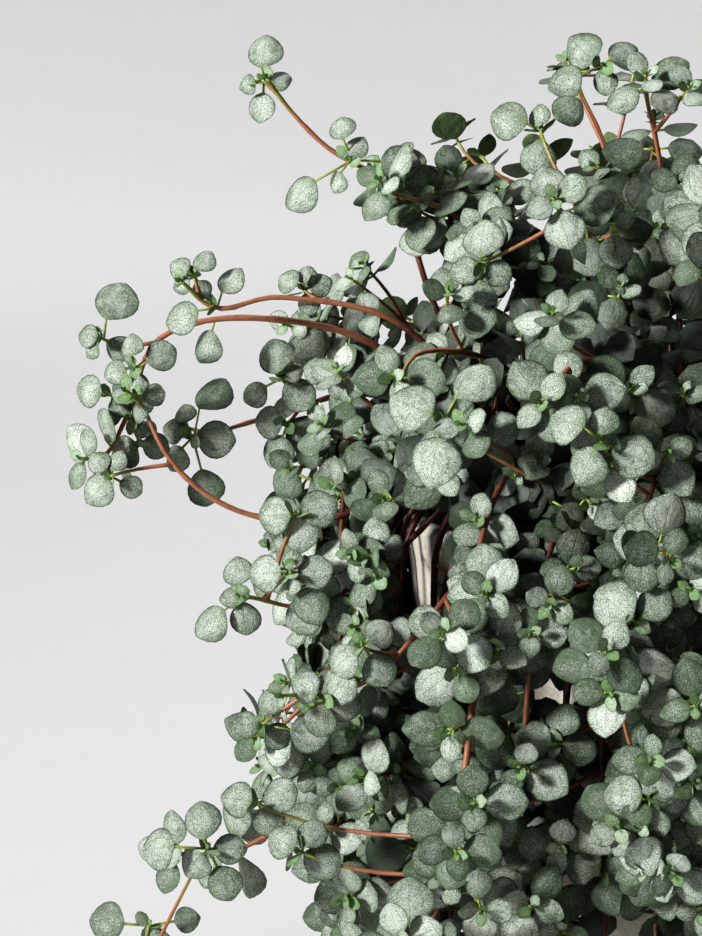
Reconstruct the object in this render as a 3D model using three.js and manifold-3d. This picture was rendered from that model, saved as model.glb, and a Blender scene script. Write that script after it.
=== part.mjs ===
// A silver sparkle pilea in a tapered stoneware pot, in millimetres, +Z up.
// The origin is the centre of the pot's foot, on the surface that the pot stands on.
// The pot is turned, the soil fills it, and each rooted stem with its leaves is one solid.
// A stem of the bushy head has a core, its tuft, which its leaves stand out of. A spray's leaves stand apart.
import * as THREE from "three";
import { mergeVertices } from "three/addons/utils/BufferGeometryUtils.js";
import Module from "manifold-3d";

const wasm = await Module();
wasm.setup();

// Driving dimensions
const POT_HEIGHT = 112;
const RIM_RADIUS = 61;
const FOOT_RADIUS = 45;
const WALL = 4.4;
const FLOOR = 6;
const SOIL_DROP = 11; // from the rim down to the soil
const ROOT_DEPTH = 7; // how far a stem stands in its hole in the soil
const STEM_WIDTH = 1.6;
const STALK = 2.6; // from a stem's centre to the base of a blade
const BLADE_LENGTH = 8;
const BLADE_WIDTH = 7.6;
const BLADE_THICKNESS = 0.7;
const STALK_WIDTH = 0.7;
const SUNK = 0.35; // from a stem's centre to the root of a stalk
const SPRAY_PAIRS = 4; // of leaves on a spray, counted from its tip
const TUFT_LEAF = 1.5; // size of a leaf on a tuft, larger than life so that a few cover its core
const GAP = 0.3; // air between neighbouring pieces

const POT_SIDES = 32;
const TUFT_SIDES = 6;
const TUFT_END = 3; // from a tuft's last ring plane to the point that closes it
const LEAF_FACETS = 3; // of a tuft's lit facets, for each leaf that stands out of it
const LEAF_ROOT = 1.2; // how deep such a leaf is sunk, along itself
const STEM_STEP = 15; // length of a straight piece of a stem, which carries one pair of leaves on a spray
const ROOT_SHARE = 0.86; // of that length, from the piece's lower end up to its leaves
const SOIL_TOP = POT_HEIGHT - SOIL_DROP;

const UP = new THREE.Vector3(0, 0, 1);
const DEGREE = Math.PI / 180;
const GOLDEN_SHARE = 0.618034; // of a full round, from each stem to the next, which never bunches them

// A repeatable draw of numbers, one stream for each stem.
class Dice {
  constructor(seed) {
    this.state = 7919 * (seed + 1);
    this.roll(0, 1);
  }
  roll(low, high) {
    this.state = (this.state * 48271) % 2147483647;
    return low + ((high - low) * this.state) / 2147483647;
  }
}

// ---- Between three.js geometry and solids ----

function solidOf(geometry) {
  const bare = geometry.index ? geometry.toNonIndexed() : geometry.clone();
  bare.deleteAttribute("normal");
  bare.deleteAttribute("uv");
  const merged = mergeVertices(bare, 1e-4);
  return new wasm.Manifold(
    new wasm.Mesh({
      numProp: 3,
      vertProperties: merged.attributes.position.array,
      triVerts: new Uint32Array(merged.index.array),
    }),
  );
}

function squareSection(width) {
  const half = width / 2;
  const corners = [[half, half], [-half, half], [-half, -half], [half, -half]];
  return new THREE.Shape(corners.map(([x, y]) => new THREE.Vector2(x, y)));
}

function geometryOf(solid) {
  const mesh = solid.getMesh();
  const geometry = new THREE.BufferGeometry();
  geometry.setAttribute("position", new THREE.BufferAttribute(mesh.vertProperties, 3));
  geometry.setIndex(new THREE.BufferAttribute(mesh.triVerts, 1));
  const flat = geometry.toNonIndexed();
  flat.computeVertexNormals();
  return flat;
}

// ---- Pot and soil ----

// The pot's outer radius at a height: a straight taper from foot to rim.
function potRadius(z) {
  return FOOT_RADIUS + ((RIM_RADIUS - FOOT_RADIUS) * z) / POT_HEIGHT;
}

function turned(profile, sides) {
  const points = profile.map(([radius, height]) => new THREE.Vector2(radius, height));
  return new THREE.LatheGeometry(points, sides).rotateX(Math.PI / 2);
}

function potGeometry() {
  const lip = 1.2;
  const inner = (z) => potRadius(z) - WALL;
  return turned(
    [
      [0, 0],
      [FOOT_RADIUS - lip, 0],
      [potRadius(lip), lip],
      [potRadius(POT_HEIGHT - lip), POT_HEIGHT - lip],
      [RIM_RADIUS - lip, POT_HEIGHT],
      [inner(POT_HEIGHT) + lip, POT_HEIGHT],
      [inner(POT_HEIGHT - lip), POT_HEIGHT - lip],
      [inner(FLOOR + 3 * lip), FLOOR + 3 * lip],
      [inner(FLOOR) - 2 * lip, FLOOR],
      [0, FLOOR],
    ],
    POT_SIDES,
  );
}

// The soil is loosely filled: its top heaps up a little at the middle and rolls in low lumps.
function soilHeight(x, y) {
  const radius = Math.hypot(x, y) / RIM_RADIUS;
  const lumps = Math.sin(x * 0.31 + 1.1) * Math.cos(y * 0.27 - 0.4) + 0.6 * Math.sin(x * 0.12 - y * 0.35);
  return SOIL_TOP + 1.6 * (1 - radius * radius) + 0.8 * lumps * (1 - radius * radius);
}

function soilSolid(routes) {
  const wide = (z) => potRadius(z) - WALL - GAP;
  const rings = 2;
  const bottom = FLOOR + GAP;
  const chamfer = 5;
  const profile = [
    [0, bottom],
    [wide(bottom) - chamfer, bottom],
    [wide(bottom + chamfer), bottom + chamfer],
  ];
  for (let ring = rings; ring >= 0; ring--) {
    profile.push([(wide(SOIL_TOP - 1) * ring) / rings, SOIL_TOP]);
  }
  const filled = turned(profile, 20);
  const place = filled.attributes.position;
  for (let i = 0; i < place.count; i++) {
    const [x, y] = [place.getX(i), place.getY(i)];
    if (place.getZ(i) > SOIL_TOP - 1) place.setZ(i, soilHeight(x, y));
  }
  return routes.reduce((soil, route) => soil.subtract(socketSolid(route)), solidOf(filled));
}

// The hole that a stem stands in: a straight square one along the stem's root.
function socketSolid(route) {
  const root = route.getPoint(0);
  const along = route.getTangent(0);
  const bottom = root.clone().addScaledVector(along, -2 * GAP);
  const top = root.clone().addScaledVector(along, ROOT_DEPTH + 6);
  const extrudePath = new THREE.LineCurve3(bottom, top);
  const section = squareSection(STEM_WIDTH * 1.5 + 2 * GAP);
  return solidOf(new THREE.ExtrudeGeometry(section, { steps: 1, extrudePath, bevelEnabled: false }));
}

// ---- Stems: where each one runs ----

// A tier is a ring of stems that share a profile, as [distance from the pot's axis, height] from the soil up.
// Inner tiers rise higher before they arch out, so that no stem crosses one of another tier.
// The lower tiers leave the left to the sprays: they start at the azimuth from and cover span degrees.
// tuft is [length, breadth, depth] of the dense mass of inner leaves round each stem, from its tip down.
const TIERS = [
  {
    count: 2, from: 0, span: 360, tuft: [52, 28, 22],
    profile: [[7, SOIL_TOP], [9, 128], [14, 158], [22, 182], [31, 199]],
  },
  {
    count: 5, from: 0, span: 360, tuft: [56, 34, 18],
    profile: [[18, SOIL_TOP], [22, 126], [33, 155], [50, 171], [67, 176]],
  },
  {
    count: 5, from: -118, span: 258, tuft: [60, 36, 15],
    profile: [[29, SOIL_TOP], [34, 122], [50, 143], [71, 148], [88, 138]],
  },
  {
    count: 4, from: -118, span: 258, tuft: [62, 38, 13],
    profile: [[38, SOIL_TOP], [43, 118], [58, 130], [78, 125], [91, 108], [97, 90]],
  },
  {
    count: 5, from: -118, span: 258, tuft: [56, 38, 12],
    profile: [[44, SOIL_TOP], [50, 117], [63, 122], [76, 111], [82, 92], [83, 72]],
  },
  {
    count: 5, from: -118, span: 258, tuft: [84, 42, 12],
    profile: [[48, SOIL_TOP], [55, 118], [65, 115], [72, 96], [73, 72], [75, 48], [85, 27]],
  },
];

// Long sprays that stand out at the plant's left, each as [x, y, z] from the soil to the tip.
const SPRAYS = [
  [[-27, 6, SOIL_TOP], [-40, 5, 125], [-54, 2, 152], [-62, -2, 174], [-76, -4, 184], [-88, -6, 197]],
  [
    [-33, -10, SOIL_TOP], [-41, -12, 125], [-60, -14, 149],
    [-83, -16, 155], [-96, -17, 153], [-104, -18, 160],
  ],
  [
    [-36, -1, SOIL_TOP], [-44, -2, 122], [-65, -3, 144], [-90, -4, 150],
    [-108, -5, 146], [-114, -6, 132], [-121, -6, 117],
  ],
  [
    [-44, -13, SOIL_TOP], [-56, -17, 118.5], [-75, -20, 113],
    [-92, -21, 114.5], [-105, -21, 124], [-113, -20, 141],
  ],
  [[-41, 9, SOIL_TOP], [-49, 10, 122], [-67, 11, 133], [-85, 11, 129], [-105, 10, 123]],
  [[-39, -27, SOIL_TOP], [-48, -35, 120], [-64, -43, 109], [-78, -46, 101], [-92, -46, 104]],
  [[-32, -35, SOIL_TOP], [-39, -45, 120], [-54, -57, 104], [-68, -60, 90], [-86, -60, 87]],
  [[-46, 0, SOIL_TOP], [-57, 0, 119], [-69, 0, 107], [-72, 0, 86], [-71, 0, 68]],
  [[-43, -20, SOIL_TOP], [-55, -26, 120], [-69, -31, 102], [-76, -34, 84], [-90, -36, 70]],
  [[-42, 17, SOIL_TOP], [-54, 22, 118.5], [-69, 28, 105], [-76, 31, 84], [-82, 33, 66], [-91, 34, 54]],
  [
    [-45, -7, SOIL_TOP], [-57, -10, 119], [-70, -13, 101], [-74, -15, 76],
    [-80, -17, 56], [-94, -18, 46], [-110, -18, 46],
  ],
  [
    [-27, -38, SOIL_TOP], [-35, -51, 119], [-47, -66, 96], [-52, -72, 66],
    [-60, -72, 42], [-78, -66, 29], [-98, -60, 26], [-116, -56, 30],
  ],
];

// A route runs on straight into the soil, from its first point down to its root.
function routeThrough(points) {
  const along = points[0].clone().sub(points[1]).normalize();
  const root = points[0].clone().addScaledVector(along, ROOT_DEPTH);
  return new THREE.CatmullRomCurve3([root, ...points], false, "catmullrom", 0.5);
}

// A stem of a tier, reaching a little more or less far than its neighbours and swaying to one side.
function tierRoute(profile, azimuth, dice) {
  const reach = dice.roll(0.94, 1.06);
  const sway = dice.roll(-0.12, 0.12);
  const points = profile.map(([radius, height], i) => {
    const share = i / (profile.length - 1);
    const far = radius * (1 + (reach - 1) * share);
    const turn = azimuth + sway * share;
    return new THREE.Vector3(far * Math.cos(turn), far * Math.sin(turn), height);
  });
  return routeThrough(points);
}

// The size of each route's tuft. The sprays have none, because their leaves stand apart.
function tuftSizes() {
  return [...SPRAYS.map(() => null), ...TIERS.flatMap(({ count, tuft }) => Array(count).fill(tuft))];
}

function stemRoutes() {
  const routes = SPRAYS.map((points) => routeThrough(points.map((point) => new THREE.Vector3(...point))));
  TIERS.forEach(({ count, from, span, profile }) => {
    for (let i = 0; i < count; i++) {
      const dice = new Dice(routes.length);
      const azimuth = (from + span * ((routes.length * GOLDEN_SHARE) % 1)) * DEGREE;
      routes.push(tierRoute(profile, azimuth, dice));
    }
  });
  return routes;
}

// ---- Stems and leaves as solids ----

// The straight pieces that a stem is made of, and its frames at their ends. A leaf grows from a piece's side.
function stemPieces(route) {
  const steps = Math.round(route.getLength() / STEM_STEP);
  const { tangents, normals, binormals } = route.computeFrenetFrames(steps, false);
  const points = route.getSpacedPoints(steps);
  return { steps, points, tangents, normals, binormals };
}

function stemSolid(route) {
  const { steps } = stemPieces(route);
  const section = squareSection(STEM_WIDTH);
  return solidOf(new THREE.ExtrudeGeometry(section, { steps, extrudePath: route, bevelEnabled: false }));
}

// A blade and its stalk, flat in XY with the stalk's root at the origin and the tip along +Y.
// margin makes the larger copy that measures free space.
function stalkedLeaf(size, margin = 0) {
  const narrow = STALK_WIDTH / 2 + margin;
  const half = [[narrow, STALK + margin], ...bladeSide(size, STALK, margin)];
  if (margin === 0) half.unshift([narrow, SUNK]);
  return extruded(half, margin);
}

// A blade that stands out of a tuft, with its root and the start of its wedge-shaped base sunk in the tuft.
function sunkLeaf(size, margin = 0) {
  return extruded([[0.8 * STALK_WIDTH + margin, margin], ...bladeSide(size, 0, margin)], margin);
}

// One side of a blade's outline, past its base at the height start: widest at its middle, then in to its tip.
function bladeSide(size, start, margin) {
  const length = BLADE_LENGTH * size;
  return [[(BLADE_WIDTH / 2) * size + margin, start + length / 2], [0, start + length + margin]];
}

// The plate whose outline is half, from the root to the tip, and its mirror image.
function extruded(half, margin) {
  const mirrored = half.slice(0, -1).map(([x, y]) => [-x, y]);
  const outline = [...half, ...mirrored.reverse()];
  const shape = new THREE.Shape(outline.map(([x, y]) => new THREE.Vector2(x, y)));
  const depth = BLADE_THICKNESS + 2 * margin;
  const leaf = new THREE.ExtrudeGeometry(shape, { depth, steps: 1, bevelEnabled: false });
  return leaf.translate(0, 0, -depth / 2);
}

// Where a leaf at this point turns its upper face: away from the pot's axis, and up towards the light.
function facingAt(point) {
  const radius = Math.hypot(point.x, point.y);
  const outward = new THREE.Vector3(point.x, point.y, 0).divideScalar(Math.max(radius, 1));
  const over = THREE.MathUtils.clamp((point.z - POT_HEIGHT) / 90, 0, 1);
  const spread = Math.min(1, radius / 75) * (1 - 0.35 * over);
  return outward.multiplyScalar(spread).addScaledVector(UP, 0.3 + 0.9 * over).normalize();
}

// The matrix that stands a leaf at root, running along direction, its upper face turned towards facing.
function leafMatrix(root, direction, facing) {
  const along = direction.clone().normalize();
  const side = new THREE.Vector3().crossVectors(along, facing).normalize();
  const normal = new THREE.Vector3().crossVectors(side, along);
  return new THREE.Matrix4().makeBasis(side, along, normal).setPosition(root);
}

// A spray's leaves: a pair at each node, turned a quarter from the last pair, and a cross of four at the tip.
function leafPlan(route, dice) {
  const { steps, points, tangents, normals, binormals } = stemPieces(route);
  const plan = [];
  const last = steps - 1;
  for (let piece = last; piece > last - SPRAY_PAIRS; piece--) {
    const root = points[piece].clone().lerp(points[piece + 1], ROOT_SHARE);
    const facing = facingAt(root);
    const cross = [normals[piece], binormals[piece]];
    const axes = piece === last ? cross : [cross[(last - piece) % 2]];
    axes.forEach((axis, pair) => {
      for (const sign of [1, -1]) {
        const direction = axis.clone().multiplyScalar(sign);
        direction.addScaledVector(tangents[piece], dice.roll(0.2, 0.5));
        direction.addScaledVector(facing, -0.5 * direction.dot(facing));
        const size = pair ? dice.roll(0.7, 0.85) : dice.roll(0.88, 1.1);
        plan.push({ root, direction, facing, size, form: stalkedLeaf });
      }
    });
  }
  return plan;
}

// ---- Tufts: the dense inner leaves round a stem, as a lumpy core that its outer leaves stand out of ----

// The rings of a tuft, as [share of its length, share of its full breadth]: it swells and narrows by turns.
const TUFT_RINGS = [[0.07, 0.66], [0.28, 1.05], [0.5, 0.84], [0.72, 1.05], [0.93, 0.7]];

// The ways along the stem, level across it and out of its arch, at a share of the tuft's length.
function tuftFrame({ route, size }, share) {
  const place = Math.min(1, 1 - (size[0] / route.getLength()) * (1 - share));
  const middle = route.getPointAt(place);
  const along = route.getTangentAt(place);
  const out = new THREE.Vector3(middle.y, -middle.x, 0).cross(along).normalize();
  return { middle, along, across: new THREE.Vector3().crossVectors(along, out), out };
}

// A corner of a ring, counted round from the outer side of the stem's arch. Its distance varies a little.
function tuftCorner(tuft, ring, side, margin = 0) {
  const [share, full] = TUFT_RINGS[ring];
  const { middle, across, out } = tuftFrame(tuft, share);
  const turn = (2 * Math.PI * (side + 0.5 * (ring % 2))) / TUFT_SIDES;
  const uneven = 1 + 0.17 * Math.sin(2.3 * side + 1.7 * ring + middle.x);
  const [breadth, depth] = [1, 2].map((i) => (tuft.size[i] / 2) * tuft.scale * full * uneven + margin);
  middle.addScaledVector(across, breadth * Math.sin(turn));
  return middle.addScaledVector(out, depth * Math.cos(turn));
}

// The facets, each as three corners, counterclockwise from outside. A point closes the rings at either end.
function tuftFacets(tuft, margin = 0) {
  const ends = [0, 1].map((share) => {
    const { middle, along } = tuftFrame(tuft, share);
    return middle.addScaledVector(along, (share ? 1 : -1) * (TUFT_END + margin));
  });
  const corner = (ring, side) => tuftCorner(tuft, ring, side % TUFT_SIDES, margin);
  const last = TUFT_RINGS.length - 1;
  const facets = [];
  for (let side = 0; side < TUFT_SIDES; side++) {
    facets.push([ends[0], corner(0, side + 1), corner(0, side)]);
    for (let ring = 0; ring < last; ring++) {
      const low = [corner(ring, side), corner(ring, side + 1)];
      const high = [corner(ring + 1, side), corner(ring + 1, side + 1)];
      // The corners of every second ring stand half a side on, so the seam between two rings leans by turns.
      if (ring % 2) facets.push([low[0], high[1], high[0]], [low[0], low[1], high[1]]);
      else facets.push([low[0], low[1], high[0]], [low[1], high[1], high[0]]);
    }
    facets.push([ends[1], corner(last, side), corner(last, side + 1)]);
  }
  return facets;
}

function tuftSolid(tuft, margin = 0) {
  return solidOf(new THREE.BufferGeometry().setFromPoints(tuftFacets(tuft, margin).flat()));
}

// Leaves on the facets that face the light, sunk a little and standing out of the tuft, each its own way.
function tuftPlan(tuft, dice) {
  const facets = tuftFacets(tuft).map((corners) => {
    const facet = new THREE.Triangle(...corners);
    return { root: facet.getMidpoint(new THREE.Vector3()), normal: facet.getNormal(new THREE.Vector3()) };
  });
  const lit = facets.filter(({ root, normal }) => normal.dot(facingAt(root)) > -0.1);
  return lit
    .filter((_, i) => i % LEAF_FACETS === 0)
    .map(({ root, normal }) => {
      const level = new THREE.Vector3().crossVectors(UP, normal).normalize();
      const direction = level.applyAxisAngle(normal, dice.roll(0, 2 * Math.PI));
      direction.addScaledVector(normal, dice.roll(0.35, 1.1)).normalize();
      root.addScaledVector(direction, -LEAF_ROOT);
      return { root, direction, facing: normal, size: TUFT_LEAF * dice.roll(0.9, 1.1), form: sunkLeaf };
    });
}

function overlaps(a, b) {
  return [0, 1, 2].every((i) => a.min[i] < b.max[i] && b.min[i] < a.max[i]);
}

// True if the solid meets none of the others.
function isFree(solid, others) {
  const box = solid.boundingBox();
  return !others.some((other) => overlaps(box, other.box) && !solid.intersect(other.solid).isEmpty());
}

const boxed = (solid, stem = -1) => ({ solid, stem, box: solid.boundingBox() });

// ---- The plant, put together ----

const routes = stemRoutes();
const pot = potGeometry();
const soil = soilSolid(routes);
const stems = routes.map(stemSolid);
const placed = [boxed(solidOf(pot)), boxed(soil), ...stems.map(boxed)];

// The tufts grow by turns, each as long as it stays clear of the pot, the other stems and the other tufts.
const TUFT_SCALES = [0.4, 0.55, 0.7, 0.85, 1];
const sizes = tuftSizes();
const tufts = routes.map((route, i) => ({ route, size: sizes[i], scale: 0 }));
const grown = tufts.map(() => null);
for (const scale of TUFT_SCALES) {
  tufts.forEach((tuft, i) => {
    if (!tuft.size || (!grown[i] && scale > TUFT_SCALES[0])) return;
    const others = [...placed, ...grown].filter((other) => other && other.stem !== i);
    const wider = { ...tuft, scale };
    if (!isFree(tuftSolid(wider, GAP), others)) return;
    tuft.scale = scale;
    grown[i] = boxed(tuftSolid(wider), i);
  });
}
placed.push(...grown.filter(Boolean));

// A leaf that would touch something is lifted or turned aside, and left out where no way is free.
const LIFTS = [0, 14, -10, 28, 42];
const TURNS = [0, 22, -22, 45, -45];

function leafSolid(leaf, others) {
  const guard = leaf.form(leaf.size, GAP);
  for (const lift of LIFTS) {
    for (const turn of TURNS) {
      const direction = leaf.direction.clone().applyAxisAngle(leaf.facing, turn * DEGREE);
      direction.normalize().addScaledVector(leaf.facing, Math.tan(lift * DEGREE));
      const stand = leafMatrix(leaf.root, direction, leaf.facing);
      if (isFree(solidOf(guard.clone().applyMatrix4(stand)), others)) {
        return solidOf(leaf.form(leaf.size).applyMatrix4(stand));
      }
    }
  }
  return null;
}

const plant = new THREE.Group();

function addPiece(name, geometry, color, roughness) {
  const material = new THREE.MeshStandardMaterial({ color, roughness, metalness: 0 });
  const mesh = new THREE.Mesh(geometry, material);
  mesh.name = name;
  plant.add(mesh);
}

addPiece("pot", pot, 0xcfc8bb, 0.8);
addPiece("soil", geometryOf(soil), 0x2b2119, 0.95);
routes.forEach((route, i) => {
  const dice = new Dice(1000 + i);
  const tuft = grown[i];
  // A stem without room for a tuft has a spray's leaves.
  const plan = tuft ? tuftPlan(tufts[i], dice) : leafPlan(route, dice);
  let stem = tuft ? stems[i].add(tuft.solid) : stems[i];
  for (const leaf of plan) {
    const solid = leafSolid(leaf, tuft ? placed.filter((other) => other !== tuft) : placed);
    if (!solid) continue;
    placed.push(boxed(solid, i));
    stem = stem.add(solid);
  }
  addPiece(`leafy_stem_${String(i + 1).padStart(2, "0")}`, geometryOf(stem), 0x86a08d, 0.6);
});

export default plant;
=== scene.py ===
"""A silver sparkle pilea that spills over a tapered pot of pale stoneware, dressed over its CAD frame."""

import bpy
import numpy as np
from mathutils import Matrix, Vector


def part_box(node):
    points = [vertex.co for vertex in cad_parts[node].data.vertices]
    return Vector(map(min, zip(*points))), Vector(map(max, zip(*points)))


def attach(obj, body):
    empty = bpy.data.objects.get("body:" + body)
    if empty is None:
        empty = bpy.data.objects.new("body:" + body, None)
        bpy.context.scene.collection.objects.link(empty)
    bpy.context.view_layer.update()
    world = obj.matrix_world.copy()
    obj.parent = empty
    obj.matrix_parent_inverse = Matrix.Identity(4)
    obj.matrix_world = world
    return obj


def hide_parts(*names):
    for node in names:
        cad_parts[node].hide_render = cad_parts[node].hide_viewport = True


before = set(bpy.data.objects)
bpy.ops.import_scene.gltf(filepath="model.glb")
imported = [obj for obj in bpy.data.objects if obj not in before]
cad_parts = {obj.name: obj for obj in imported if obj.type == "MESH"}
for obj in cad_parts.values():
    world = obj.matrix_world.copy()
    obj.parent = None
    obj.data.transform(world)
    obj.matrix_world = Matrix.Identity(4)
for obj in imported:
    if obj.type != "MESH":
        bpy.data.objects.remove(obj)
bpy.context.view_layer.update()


# ---- Studio: sweep, lamps and camera ----
# A seamless sweep of pale matte card, which lies flat round the pot and curves up far behind it.
# One soft lamp stands at the front left, higher than the plant, and four hang over the card round about.

MILLIMETRE = 0.001


def grid_quads(rows, columns, closed=False):
    """Faces between neighbours of a grid numbered by rows. closed joins its last column to its first."""
    across = np.arange(columns if closed else columns - 1)
    near = (np.arange(rows - 1)[:, None] * columns + across).ravel()
    step = np.tile((across + 1) % columns - across, rows - 1)
    return np.stack([near, near + step, near + step + columns, near + columns], 1)


def mesh_object(name, points, quads, materials, material_of=None, values=None, uv=None):
    """A smooth-shaded object from points in millimetres and four-sided faces.

    material_of numbers each face's material, values holds one number per point under each name, and uv
    holds one pair per point.
    """
    mesh = bpy.data.meshes.new(name)
    mesh.vertices.add(len(points))
    mesh.vertices.foreach_set("co", np.asarray(points * MILLIMETRE, np.float32).ravel())
    mesh.loops.add(quads.size)
    mesh.loops.foreach_set("vertex_index", quads.ravel().astype(np.int32))
    mesh.polygons.add(len(quads))
    mesh.polygons.foreach_set("loop_start", np.arange(0, quads.size, 4, dtype=np.int32))
    mesh.polygons.foreach_set("use_smooth", np.ones(len(quads), bool))
    if material_of is not None:
        mesh.polygons.foreach_set("material_index", material_of.astype(np.int32))
    for key, numbers in (values or {}).items():
        attribute = mesh.attributes.new(key, "FLOAT", "POINT")
        attribute.data.foreach_set("value", numbers.astype(np.float32))
    if uv is not None:
        layer = mesh.uv_layers.new(name="Leaf")
        layer.data.foreach_set("uv", uv[quads.ravel()].astype(np.float32).ravel())
    for material in materials:
        mesh.materials.append(material)
    mesh.update(calc_edges=True)
    piece = bpy.data.objects.new(name, mesh)
    bpy.context.scene.collection.objects.link(piece)
    return piece


class Wire:
    """An output socket in a material. Arithmetic on wires and numbers adds Math nodes."""

    def __init__(self, tree, socket=None):
        self.tree = tree
        self.socket = socket

    def node(self, kind, inputs=None, output=0, **settings):
        """Adds a node of this kind. Its settings come first, then each input gets a wire or a value."""
        node = self.tree.nodes.new(kind)
        for key, value in settings.items():
            setattr(node, key, value)
        for key, value in (inputs or {}).items():
            if isinstance(value, Wire):
                self.tree.links.new(value.socket, node.inputs[key])
            else:
                node.inputs[key].default_value = value
        return Wire(self.tree, node.outputs[output])

    def maths(self, operation, *values):
        return self.node("ShaderNodeMath", dict(enumerate(values)), operation=operation)

    def __add__(self, other):
        return self.maths("ADD", self, other)

    __radd__ = __add__

    def __sub__(self, other):
        return self.maths("SUBTRACT", self, other)

    def __rsub__(self, other):
        return self.maths("SUBTRACT", other, self)

    def __mul__(self, other):
        return self.maths("MULTIPLY", self, other)

    __rmul__ = __mul__

    def __abs__(self):
        return self.maths("ABSOLUTE", self)

    def rise(self, low, high):
        """0 below low, 1 above high, and a smooth step between."""
        inputs = {"Value": self, "From Min": low, "From Max": high}
        return self.node("ShaderNodeMapRange", inputs, interpolation_type="SMOOTHSTEP")

    def blend(self, share, other):
        """This colour where share is 0, and the other colour where it is 1."""
        inputs = {"Factor": share, 6: self, 7: other}
        return self.node("ShaderNodeMix", inputs, output=2, data_type="RGBA")

    def noise(self, coordinates, size_mm, detail=2.0, roughness=0.5):
        """Noise with lumps of about this size."""
        inputs = {"Vector": coordinates, "Scale": 1 / (size_mm * MILLIMETRE)}
        inputs |= {"Detail": detail, "Roughness": roughness}
        return self.node("ShaderNodeTexNoise", inputs)


def colour(tree, red, green, blue):
    """A constant colour as a wire, to start a blend from."""
    return tree.node("ShaderNodeMix", {"Factor": 0.0, 6: (red, green, blue, 1)}, output=2, data_type="RGBA")


def new_material(name, **constants):
    """A material, the wire to build its nodes from, and a function that joins wires to its shader."""
    material = bpy.data.materials.new(name)
    material.use_nodes = True
    tree = material.node_tree
    shader = tree.nodes["Principled BSDF"]
    for key, value in constants.items():
        shader.inputs[key.replace("_", " ")].default_value = value

    def finish(bump=None, bump_height=0.0001, **wires):
        for key, wire in wires.items():
            tree.links.new(wire.socket, shader.inputs[key.replace("_", " ")])
        if bump is not None:
            heights = {"Height": bump, "Distance": bump_height, "Strength": 1.0}
            normal = bump.node("ShaderNodeBump", heights)
            tree.links.new(normal.socket, shader.inputs["Normal"])

    return material, Wire(tree), finish


def object_coordinates(tree):
    """Each point's place on its object, in metres."""
    return tree.node("ShaderNodeTexCoord", output=3)


SWEEP_HALF_WIDTH = 5000
SWEEP_FRONT = -5000
SWEEP_BACK = 2600  # where it starts to curve up
SWEEP_CURVE = 900
SWEEP_TOP = 3500

flat = np.linspace(SWEEP_FRONT, SWEEP_BACK, 12)
angle = np.linspace(0, np.pi / 2, 24)
curve_y, curve_z = SWEEP_BACK + SWEEP_CURVE * np.sin(angle), SWEEP_CURVE * (1 - np.cos(angle))
sweep_y = np.concatenate([flat, curve_y, curve_y[-1:]])
sweep_z = np.concatenate([np.zeros(len(flat)), curve_z, [SWEEP_TOP]])
sweep_x = np.linspace(-SWEEP_HALF_WIDTH, SWEEP_HALF_WIDTH, 8)
sweep_points = np.stack(
    [np.tile(sweep_x, len(sweep_y)), np.repeat(sweep_y, len(sweep_x)), np.repeat(sweep_z, len(sweep_x))], 1
)
card, tree, finish = new_material("pale_card", Roughness=0.9)
mottle = tree.noise(object_coordinates(tree), 40, detail=3)
finish(Base_Color=colour(tree, 0.735, 0.735, 0.735).blend(mottle, (0.755, 0.755, 0.755, 1)))
sweep = mesh_object("sweep", sweep_points, grid_quads(len(sweep_y), len(sweep_x)), [card])

CAMERA_TARGET = Vector((-70.8, 0, 119.8)) * MILLIMETRE
CAMERA_DISTANCE = 0.6
CAMERA_ELEVATION = np.radians(9)
CAMERA_LENS = 115.4


def aim(thing, target):
    """Turns a lamp or camera, which look along their own -Z, to look at the target."""
    thing.rotation_euler = (target - thing.location).to_track_quat("-Z", "Y").to_euler()


camera = bpy.data.objects.new("camera", bpy.data.cameras.new("camera"))
bpy.context.scene.collection.objects.link(camera)
camera.data.lens = CAMERA_LENS
back = Vector((0, -np.cos(CAMERA_ELEVATION), np.sin(CAMERA_ELEVATION)))
camera.location = CAMERA_TARGET + CAMERA_DISTANCE * back
camera.data.clip_start = 0.01
aim(camera, CAMERA_TARGET)
bpy.context.scene.camera = camera


def soft_lamp(name, place, target, size, power, spread):
    """A square lamp, its size in metres and its power in watts, whose light fans out over spread degrees."""
    lamp = bpy.data.objects.new(name, bpy.data.lights.new(name, "AREA"))
    bpy.context.scene.collection.objects.link(lamp)
    lamp.location = place
    lamp.data.size = size
    lamp.data.energy = power
    lamp.data.spread = np.radians(spread)
    aim(lamp, Vector(target))


soft_lamp("key_lamp", (-1.55, -1.05, 0.78), (-0.05, 0, 0.41), 0.35, 5.7, 51)
soft_lamp("back_card_lamp", (0, 1.7, 2.6), (0, 2.6, 0), 3.2, 43, 140)
soft_lamp("front_card_lamp", (0, -3.4, 2.6), (0, -3.4, 0), 3.6, 24, 80)
for name, x in (("left", -2.9), ("right", 2.9)):
    soft_lamp(f"{name}_card_lamp", (x, 1.4, 2.6), (x, 1.4, 0), 3.6, 30, 80)

room = bpy.data.worlds.new("room")
room.use_nodes = True
room.node_tree.nodes["Background"].inputs["Color"].default_value = (1, 1, 1, 1)
room.node_tree.nodes["Background"].inputs["Strength"].default_value = 0.04
bpy.context.scene.world = room
bpy.context.scene.view_settings.view_transform = "Standard"
bpy.context.scene.view_settings.look = "Medium High Contrast"


# ---- Pot ----
# A tapered pot, thrown in coarse pale stoneware and left unglazed, with a softly rounded lip and a flat foot.
# A thin wash of lime has dried on it in upright streaks, and its faint throwing rings still show.

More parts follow.
